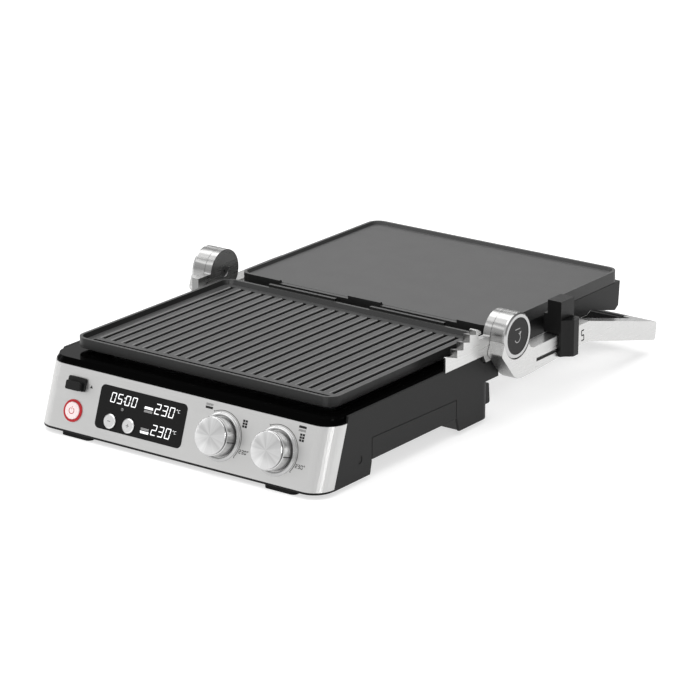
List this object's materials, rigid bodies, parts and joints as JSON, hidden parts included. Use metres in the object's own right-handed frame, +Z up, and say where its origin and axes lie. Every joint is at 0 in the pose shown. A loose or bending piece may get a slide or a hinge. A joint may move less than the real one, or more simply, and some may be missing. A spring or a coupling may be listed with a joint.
{
  "type": "panini press",
  "caption": "Contact grill opened flat: base with a grooved plate, and a lid with a flat plate hinged on a U-shaped handle frame.",
  "frame": {"origin": "middle of the bounding box at the worktop, lid open flat", "axes": "+X to the right seen from the front panel, +Y from the front panel to the open lid, +Z up"},
  "size_m": [0.3922, 0.5607, 0.1089],
  "materials": {
    "plastic_grey": "textured dark grey",
    "plastic_black": "matte black",
    "gloss_black": "glossy black",
    "brushed": "brushed",
    "satin": "satin silver",
    "cast": "cast with a dark grey non-stick coat",
    "knob_metal": "turned, with a spun face",
    "chrome": "polished",
    "steel": "plain",
    "coated_steel": "black coat",
    "bare_alu": "plain",
    "lens_black": "dark window",
    "red_light": "lit red ring",
    "board": "green board",
    "rubber": "black",
    "ceramic": "ceramic"
  },
  "bodies": {
    "base": {"base_housing": "plastic_grey", "base_pan": "coated_steel", "front_carrier": "plastic_black", "front_panel": "brushed", "top_surround": "gloss_black", "display_window": "lens_black", "display_board": "board", "control_board": "board", "power_board": "board", "power_light_ring": "red_light", "lower_reflector": "bare_alu", "lower_heater": "steel", "lower_thermostat": "ceramic", "left_encoder": "plastic_black", "right_encoder": "plastic_black", "left_knob_bezel": "chrome", "right_knob_bezel": "chrome", "lower_plate": "cast", "front_feet": "rubber", "rear_feet": "rubber", "rear_spacers": "plastic_black", "left_bracket": "satin", "right_bracket": "satin", "left_hinge_pin": "steel", "right_hinge_pin": "steel", "bracket_screws": "steel", "pan_screws": "steel", "cord_inlet": "plastic_black", "button_springs": "steel", "latch_spring": "steel"},
    "frame": {"left_arm": "satin", "right_arm": "satin", "handle_grip": "plastic_black", "handle_core": "bare_alu", "left_hinge_ring": "chrome", "right_hinge_ring": "chrome", "left_hinge_cap": "plastic_black", "lid_pivot_pins": "steel", "release_spring": "steel"},
    "lid": {"lid_housing": "plastic_grey", "lid_cover": "brushed", "upper_plate": "cast", "upper_heater": "steel", "upper_reflector": "bare_alu", "upper_thermostat": "ceramic", "lid_screws": "steel"},
    "selector": {"height_selector": "plastic_black", "selector_pin": "steel"},
    "release": {"hinge_release": "plastic_black"},
    "left_dial": {"left_knob": "knob_metal", "left_knob_shaft": "steel"},
    "right_dial": {"right_knob": "knob_metal", "right_knob_shaft": "steel"},
    "power": {"power_button": "knob_metal"},
    "minus": {"minus_button": "knob_metal"},
    "plus": {"plus_button": "knob_metal"},
    "latch": {"plate_release": "plastic_black", "plate_latch": "steel"},
    "tray": {"drip_tray": "plastic_black"}
  },
  "joints": [
    {"name": "lid_hinge", "type": "hinge", "parent": "base", "child": "frame", "pos_m": [-0.0061, 0.02048, 0.086], "axis": [1, 0, 0], "range_deg": [0, 180]},
    {"name": "lid_float", "type": "hinge", "parent": "frame", "child": "lid", "pos_m": [-0.0061, 0.14848, 0.057], "axis": [-1, 0, 0], "range_deg": [-8, 0]},
    {"name": "height_slide", "type": "slide", "parent": "frame", "child": "selector", "axis": [0, 1, 0], "range_m": [-0.038, 0]},
    {"name": "hinge_unlock", "type": "slide", "parent": "frame", "child": "release", "axis": [-1, 0, 0], "range_m": [0, 0.002], "stiffness_N_per_m": 400},
    {"name": "left_dial_turn", "type": "hinge", "parent": "base", "child": "left_dial", "pos_m": [0.0414, -0.25975, 0.03487], "axis": [0, -0.9455, 0.3256], "range_deg": [0, 165]},
    {"name": "right_dial_turn", "type": "hinge", "parent": "base", "child": "right_dial", "pos_m": [0.1059, -0.25975, 0.03487], "axis": [0, -0.9455, 0.3256], "range_deg": [0, 165]},
    {"name": "power_press", "type": "slide", "parent": "base", "child": "power", "axis": [0, 0.9455, -0.3256], "range_m": [0, 0.0015], "stiffness_N_per_m": 400},
    {"name": "minus_press", "type": "slide", "parent": "base", "child": "minus", "axis": [0, 0.9455, -0.3256], "range_m": [0, 0.001], "stiffness_N_per_m": 400},
    {"name": "plus_press", "type": "slide", "parent": "base", "child": "plus", "axis": [0, 0.9455, -0.3256], "range_m": [0, 0.001], "stiffness_N_per_m": 400},
    {"name": "plate_unlatch", "type": "slide", "parent": "base", "child": "latch", "axis": [0, -0.3256, -0.9455], "range_m": [0, 0.0035], "stiffness_N_per_m": 400, "springref_m": -0.002},
    {"name": "tray_slide", "type": "slide", "parent": "base", "child": "tray", "axis": [0, 1, 0], "range_m": [0, 0.15]}
  ]
}
